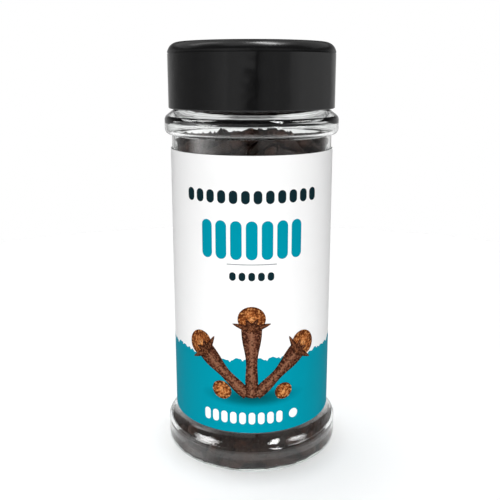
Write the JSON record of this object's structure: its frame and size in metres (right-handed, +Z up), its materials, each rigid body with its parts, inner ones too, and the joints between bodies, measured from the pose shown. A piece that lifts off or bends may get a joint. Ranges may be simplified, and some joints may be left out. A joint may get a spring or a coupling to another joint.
{
  "type": "spice jar of whole cloves",
  "caption": "Clear round plastic jar filled with whole cloves, with a plain printed wrap label and a shut black cap; stands on its foot ring.",
  "frame": {"origin": "centre of the jar's base, on the surface that it stands on", "axes": "+Z up along the jar's axis, front of the label towards -Y"},
  "size_m": [0.052, 0.052, 0.12],
  "materials": {
    "clear_plastic": "clear glossy plastic",
    "cloves": "dry, rough, dark red-brown",
    "label": "satin film label",
    "cap": "moulded, glossy black"
  },
  "bodies": {
    "root": {"jar": "clear_plastic", "cloves": "cloves", "label": "label", "cap_skirt": "cap", "cap_lid": "cap"}
  },
  "joints": []
}
